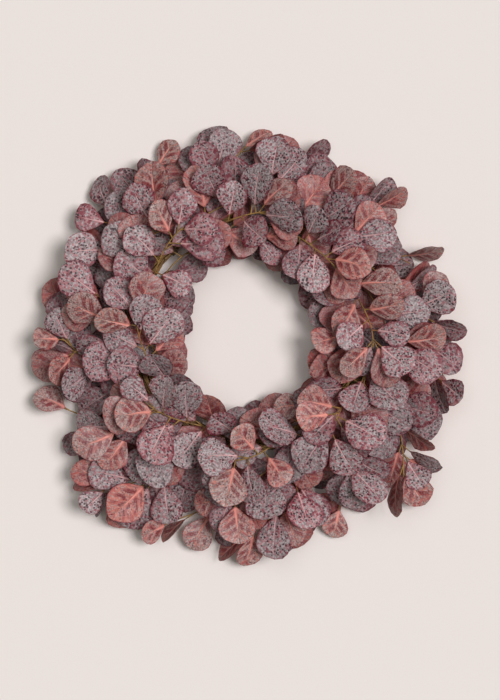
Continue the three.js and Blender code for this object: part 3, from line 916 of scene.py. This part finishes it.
# A spray: its stem and stalks grow from lines, its leaves from points that carry their ways and sizes.
sprayShape = {
    "Blade thickness": 0.0005, "Ripple": 0.0012, "Ripple size": 0.015, "Lobes": 0.19, "Stem sides": 8,
}
sketchPlan = {  # a stem's tip as a share, how fast it thins, its stalks in millimetres, and the leaves' lobes
    "stemLeft": 0.5, "stemThinning": 5, "lobeSpread": 3.0, "lobeDrift": 40,
    "stalkSteps": 5, "stalkRadius": (0.95, 0.5), "underBlade": 2.5, "stalkSag": 0.5,
}
lookPlan = {
    "seed": 5, "veined": (1.3, 0.028), "veinedFrom": 12, "flush": (0.0, 1.0), "stemFlush": (0.6, 1),
    # shade is a random darker tone per leaf; paintedShadeUnderLeaves is painted shade, how much darker a leaf
    # is painted by the share of it lying under other leaves
    "shade": (0.0, 0.2), "paintedShadeUnderLeaves": 0.55, "lean": (-0.07, 0.07), "sway": (-0.1, 0.1),
    "fold": (0.08, 0.32), "basePower": (0.95, 1.3), "tipPower": (0.5, 0.76),
}
leafWays = ("along", "across", "up")
drawnTraits = ("shade", "lean", "sway", "fold", "basePower", "tipPower")


def makeSprayTree():
    tree, given = newTree("leafySpray", {
        "Geometry": "Geometry", "Leaf pattern": "Object", **sprayShape,
        "Speckled": "Material", "Veined": "Material", "Underside": "Material", "Bark": "Material",
    })

    def trait(name, kind="FLOAT"):
        return attribute(tree, name, kind)

    keys = {"Geometry": given["Geometry"], "Selection": trait("isLeaf")}
    leafPoints, lines = outsOf(tree, "GeometryNodeSeparateGeometry", keys, domain="POINT")
    pattern = geo("ObjectInfo", {"Object": given["Leaf pattern"]}, "Geometry")
    leaves = realize(geo("InstanceOnPoints", {"Points": leafPoints, "Instance": pattern}))
    share, side, face = split(trait("place", "FLOAT_VECTOR"))
    span, drift = trait("span"), trait("drift")
    half = trait("breadth") * share ** trait("basePower") * (1 - share) ** trait("tipPower")
    spread = sketchPlan["lobeSpread"]
    lobes = noise(join(share * spread, calculate("SIGN", side) * 3, drift * sketchPlan["lobeDrift"])) - 0.5
    half = half * (1 + lobes * given["Lobes"] * 2 + side * trait("lean"))
    x, y = share * span, side * half
    wave = noise(scaled(join(x, y, drift), 1 / given["Ripple size"]), detail=0.0)
    rise = (trait("cup") * y * y - trait("droop") * x * x) / span
    crease = abs(y) * (1 - abs(side))
    rise = rise + trait("fold") * crease + face * given["Blade thickness"] * 0.5
    rise = rise + (wave - 0.5) * 2 * given["Ripple"] * side * side * 2
    leaves = store(leaves, "plan", join(x, y, face), "FLOAT_VECTOR")
    leaves = store(leaves, "half", half)
    swayed = y + x * x / span * trait("sway")
    position = trait("base", "FLOAT_VECTOR")
    for way, reach in zip(leafWays, (x, swayed, rise)):
        position = combine("ADD", position, scaled(trait(way, "FLOAT_VECTOR"), reach))
    *level, height = split(position)
    lowest = (face + 1) * given["Blade thickness"] * 0.5  # a low leaf lies on the table
    position = join(*level, calculate("MAXIMUM", height, lowest))
    leaves = smooth(geo("SetPosition", {"Geometry": leaves, "Position": position}))
    above = calculate("GREATER_THAN", face, 0.0)
    veined = calculate("GREATER_THAN", trait("veined"), 0.5)
    leaves = paint(paint(leaves, given["Underside"]), given["Speckled"], above)
    leaves = paint(leaves, given["Veined"], above * veined)

    keys = {"Scale": trait("radius"), "Fill Caps": True}
    stems = sweep(geo("MeshToCurve", {"Mesh": lines}), circle(given["Stem sides"]), keys)
    both = addNode(tree, "GeometryNodeJoinGeometry", {0: leaves})
    tree.links.new(paint(smooth(stems), given["Bark"]).socket, both.inputs[0])
    return endTree(tree, {"Geometry": realize(Wire(tree, both.outputs[0]))})


def toRoom(point):  # from millimetres about the hoop to the row's frame, in metres
    return np.asarray(point) * mm + np.array((hoopMiddle.x, hoopMiddle.y, 0))


def sketchSpray(name, stem):
    points, edges, radii = [], [], []

    def line(path, thickness):
        first = len(points)
        points.extend(toRoom(path))
        radii.extend(np.array(thickness) * mm)
        edges.extend((first + i, first + i + 1) for i in range(len(path) - 1))

    left = sketchPlan["stemLeft"]
    thinning = np.exp(-sketchPlan["stemThinning"] * np.linspace(0, 1, len(stem.points)))
    line(stem.points, hoopPlan["stemRadius"] * (left + (1 - left) * thinning))
    for leaf in stem.leaves:
        steps = np.linspace(0, 1, sketchPlan["stalkSteps"])
        end = leaf["base"] + leaf["along"] * sketchPlan["underBlade"]
        stalk = leaf["root"] + (end - leaf["root"]) * steps[:, None]
        stalk[:, 2] -= sketchPlan["stalkSag"] * np.sin(math.pi * steps)
        line(stalk, lerp(*sketchPlan["stalkRadius"], steps))
    points.extend(toRoom(leaf["base"]) for leaf in stem.leaves)
    mesh = bpy.data.meshes.new(name + "Sketch")
    mesh.from_pydata([tuple(point) for point in points], edges, [])

    def note(label, values):  # on the last points
        whole = np.zeros((len(points), *np.shape(values)[1:]), np.float32)
        whole[len(points) - len(values):] = values
        kind, field = ("FLOAT_VECTOR", "vector") if whole.ndim > 1 else ("FLOAT", "value")
        mesh.attributes.new(label, kind, "POINT").data.foreach_set(field, whole.ravel())

    note("isLeaf", np.ones(len(stem.leaves)))
    note("base", [toRoom(leaf["base"]) for leaf in stem.leaves])
    note("span", [leaf["length"] * mm for leaf in stem.leaves])
    note("radius", radii + [0.0] * len(stem.leaves))
    for trait in (*leafWays, "cup", "droop", *drawnTraits, "breadth", "veined", "flush", "drift"):
        note(trait, [leaf[trait] for leaf in stem.leaves])
    return mesh


def chooseLooks(draws):
    most, perMillimetre = lookPlan["veined"]
    for stem in thicket.stems:
        stemFlush = lerp(*lookPlan["stemFlush"], draws.next())
        for leaf in stem.leaves:
            longer = leaf["length"] - lookPlan["veinedFrom"]
            leaf["veined"] = float(draws.next() < most - perMillimetre * longer)
            leaf["flush"] = draws.between(lookPlan["flush"]) * stemFlush
            for trait in drawnTraits:
                leaf[trait] = draws.between(lookPlan[trait])
            leaf["drift"] = draws.next()
            # painted shade: a leaf that lies under other leaves is painted darker by the share of it they
            # cover, on top of its random tone
            leaf["shade"] += lookPlan["paintedShadeUnderLeaves"] * cover.hidden(leaf)
            leaf["breadth"] = 0.5 * leaf["width"] * mm / fullest(leaf["basePower"], leaf["tipPower"])


chooseLooks(Draws(lookPlan["seed"]))
sprayTree = makeSprayTree()
for i, stem in enumerate(thicket.stems):
    name = f"leafySpray_{i + 1:02}"
    spray = growMesh(name, sketchSpray(name, stem), sprayTree, {
        **sprayShape, "Leaf pattern": leafPattern, "Speckled": speckledLeaf, "Veined": veinedLeaf,
        "Underside": leafUnderside, "Bark": stemBark,
    })
    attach(spray, "root")
    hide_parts(f"spray_{i + 1:02}")
bpy.data.objects.remove(leafPattern)
print("sprays grown")


# Canes: each is a cord of thin vines, twisted together, that winds round the hoop's middle line.
caneShape = {
    "Radius": hoopPlan["caneRadius"] * mm, "Hoop radius": hoopRadius, "Height": hoopMiddle.z,
    "Turns": float(hoopPlan["twist"]), "Vines": 6, "Vine turns": 9.0, "Vine share": 0.33,
    "Wander": 0.0003, "Knots": 0.3, "Steps": 200, "Sides": 6,
}
vineGrain = {"apart": 5.3, "alongApart": 0.07, "wanderScale": 9.0, "wanderTurn": 0.9, "knotScale": 24.0}
caneLook = {
    "bark": (134, 100, 52), "shade": (62, 40, 24), "pale": (168, 132, 76), "relief": 0.0003,
}


def makeCaneBark(look):
    finish = Finish("caneBark", look)
    grain = finish.attribute("grain", "Vector")
    fibres = noise(combine("MULTIPLY", grain, (60.0, 1500.0, 0.0)), 1.0, 3.0, 0.6)
    patches = noise(finish.onObject(), 70.0)
    shade, pale = ramp(fibres, 0.4, 0.66), ramp(patches, 0.5, 0.72)
    colour = finish.layered("bark", (shade, "shade"), (pale * 0.6, "pale"))
    return finish.end(colour, fibres + patches * 0.5, 0.75)


def makeCaneTree():
    tree, given = newTree("vineCane", {
        "Geometry": "Geometry", **caneShape, "Distance": caneDistance * mm, "Direction": 0.0,
        "Centre": "Vector", "Seed": 0.0, "Bark": "Material",
    })
    ring, vine = outsOf(tree, "GeometryNodeDuplicateElements", {
        "Geometry": circle(given["Steps"]), "Amount": given["Vines"],
    }, domain="SPLINE")
    ring = store(ring, "vine", vine)
    vine = attribute(tree, "vine")
    spot = outOf(tree, "GeometryNodeInputPosition")
    x, y, _ = split(spot)
    angle = calculate("ARCTAN2", y, x)
    turned = angle * given["Turns"] + given["Direction"]
    ring = store(ring, "way", angle * given["Hoop radius"] + vine * vineGrain["alongApart"])
    seat = join(0.0, 0.0, given["Seed"] + vine * vineGrain["apart"])
    wander = (noise(combine("ADD", scaled(spot, vineGrain["wanderScale"]), seat), detail=1.0) - 0.5) * 2
    wound = angle * given["Vine turns"] + vine * (2 * math.pi) / given["Vines"]
    wound = wound + wander * vineGrain["wanderTurn"]
    off = given["Radius"] * (1 - given["Vine share"]) - given["Wander"] * abs(wander)
    reach = given["Hoop radius"] + given["Distance"] * calculate("COSINE", turned)
    reach = reach + off * calculate("COSINE", wound)
    lift = given["Height"] + given["Distance"] * calculate("SINE", turned)
    lift = lift + off * calculate("SINE", wound)
    position = combine("ADD", scaled(spot, reach), join(0.0, 0.0, lift))
    knots = noise(combine("ADD", scaled(spot, vineGrain["knotScale"]), seat), detail=1.0)
    ring = store(ring, "thick", given["Radius"] * given["Vine share"] * (1.1 - given["Knots"] * knots))
    ring = geo("SetPosition", {"Geometry": ring, "Position": combine("ADD", position, given["Centre"])})
    part = outOf(tree, "GeometryNodeSplineParameter", output="Factor")
    around = part * given["Radius"] * given["Vine share"] * (2 * math.pi)
    profile = store(circle(given["Sides"]), "round", around)
    cane = sweep(ring, profile, {"Scale": attribute(tree, "thick")})
    grain = join(attribute(tree, "way"), attribute(tree, "round"), 0.0)
    cane = smooth(store(cane, "grain", grain, "FLOAT_VECTOR"))
    return endTree(tree, {"Geometry": realize(paint(cane, given["Bark"]))})


caneBark = makeCaneBark(caneLook)
caneTree = makeCaneTree()
for i in range(caneCount):
    node = f"cane_{i}" if i else "cane_core"
    direction = 360 * (i - 0.5) / (caneCount - 1) + sprayKinds[0]["groove"]
    cane = growMesh(f"vineCane_{i + 1}", bpy.data.meshes.new("caneSketch"), caneTree, {
        **caneShape, "Distance": caneDistance * mm if i else 0.0,
        "Direction": math.radians(direction) if i else 0.0,
        "Centre": (hoopMiddle.x, hoopMiddle.y, 0.0), "Seed": 3.7 * i, "Bark": caneBark,
    })
    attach(cane, "root")
    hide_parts(node)
print("canes wound")


# Bindings: paper-covered wire wound side by side round the canes and the feet of the stems.
wireShape = {
    "Inside": bindingInside * mm, "Wire radius": hoopPlan["bindingWall"] / 2 * mm * 0.98,
    "Width": hoopPlan["bindingWidth"] * mm, "Turns": 7.0, "Steps": 26, "Sides": 7,
}
wireLook = {"paper": (116, 92, 54), "shade": (66, 50, 32), "relief": 0.0003}


def makeWirePaper(look):
    finish = Finish("wirePaper", look)
    crumple = noise(finish.onObject(), 900.0)
    return finish.end(finish.layered("paper", (ramp(crumple, 0.42, 0.62), "shade")), crumple, 0.7)


def makeWireTree():
    tree, given = newTree("wireBinding", {
        "Geometry": "Geometry", **wireShape, "Heading": 0.0, "Paper": "Material",
    })
    reach = given["Inside"] + given["Wire radius"]
    height = given["Width"] - given["Wire radius"] * 2
    spiral = geo("CurveSpiral", {
        "Resolution": given["Steps"], "Rotations": given["Turns"], "Start Radius": reach, "End Radius": reach,
        "Height": height,
    })
    centred = geo("SetPosition", {"Geometry": spiral, "Offset": join(0.0, 0.0, height * -0.5)})
    wire = sweep(centred, circle(given["Sides"], given["Wire radius"]), {"Fill Caps": True})
    turn = outOf(tree, "FunctionNodeEulerToRotation", {"Euler": join(math.pi / 2, 0.0, given["Heading"])})
    placed = geo("InstanceOnPoints", {"Points": given["Geometry"], "Instance": wire, "Rotation": turn})
    return endTree(tree, {"Geometry": paint(smooth(realize(placed)), given["Paper"])})


wirePaper = makeWirePaper(wireLook)
wireTree = makeWireTree()
for i, middle in enumerate(bindingMiddles):
    spot = bpy.data.meshes.new("bindingSpot")
    spot.from_pydata([tuple(middle)], [], [])
    binding = growMesh(f"wireBinding_{i + 1}", spot, wireTree, {
        **wireShape, "Heading": math.radians(i * 360 / bindingCount), "Paper": wirePaper,
    })
    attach(binding, "root")
    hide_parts(f"binding_{i + 1}")
print("bindings wound")


# Floor, light and camera.
roomPlan = {
    "floorSize": 40.0, "world": (0.84, 1.0, 0.86, 1.0), "worldStrength": 0.12,
    "frameHeight": 0.805, "viewDown": 0.0253, "distance": 2.4,
}
floorLook = {"paper": (233, 225, 221), "fibre": (220, 212, 208), "relief": 0.0001}
lamps = {  # far soft lamps: where they shine from, how wide they look, in degrees, and how strong they are
    "keyLight": {"from": (0.45, 0.08, 1.0), "spread": 24, "strength": 2.38, "colour": (1.0, 0.965, 0.975)},
    "topLight": {"from": (-0.15, 0.25, 1.2), "spread": 50, "strength": 0.7, "colour": (1.0, 0.98, 0.985)},
}


def makeFloorFinish(look):
    finish = Finish("floorPaper", look)
    fibre = noise(finish.onObject(), 60.0, 3.0)
    return finish.end(finish.layered("paper", (fibre * 0.04, "fibre")), fibre, 0.9)


def makeFloor(size):
    half = size / 2
    mesh = bpy.data.meshes.new("floor")
    corners = [(-half, -half, 0), (half, -half, 0), (half, half, 0), (-half, half, 0)]
    mesh.from_pydata(corners, [], [(0, 1, 2, 3)])
    mesh.materials.append(makeFloorFinish(floorLook))
    floor = putInScene("floor", mesh)


def makeLamp(name, lamp):
    light = bpy.data.lights.new(name, "SUN")
    light.angle = math.radians(lamp["spread"])
    light.energy = lamp["strength"]
    light.color = lamp["colour"]
    toLamp = Vector(lamp["from"]).to_track_quat("Z", "Y")
    putInScene(name, light).rotation_euler = toLamp.to_euler()


def makeCamera(plan):
    camera = bpy.data.cameras.new("camera")
    camera.lens = camera.sensor_width * plan["distance"] / plan["frameHeight"]
    holder = putInScene("camera", camera)
    holder.location = (hoopMiddle.x, hoopMiddle.y - plan["viewDown"], plan["distance"])
    bpy.context.scene.camera = holder


def makeWorld(plan):
    world = bpy.data.worlds.new("room")
    world.use_nodes = True
    sky = world.node_tree.nodes["Background"]
    sky.inputs["Color"].default_value = plan["world"]
    sky.inputs["Strength"].default_value = plan["worldStrength"]
    bpy.context.scene.world = world
    bpy.context.scene.view_settings.view_transform = "Standard"


makeFloor(roomPlan["floorSize"])
for name, lamp in lamps.items():
    makeLamp(name, lamp)
makeWorld(roomPlan)
makeCamera(roomPlan)
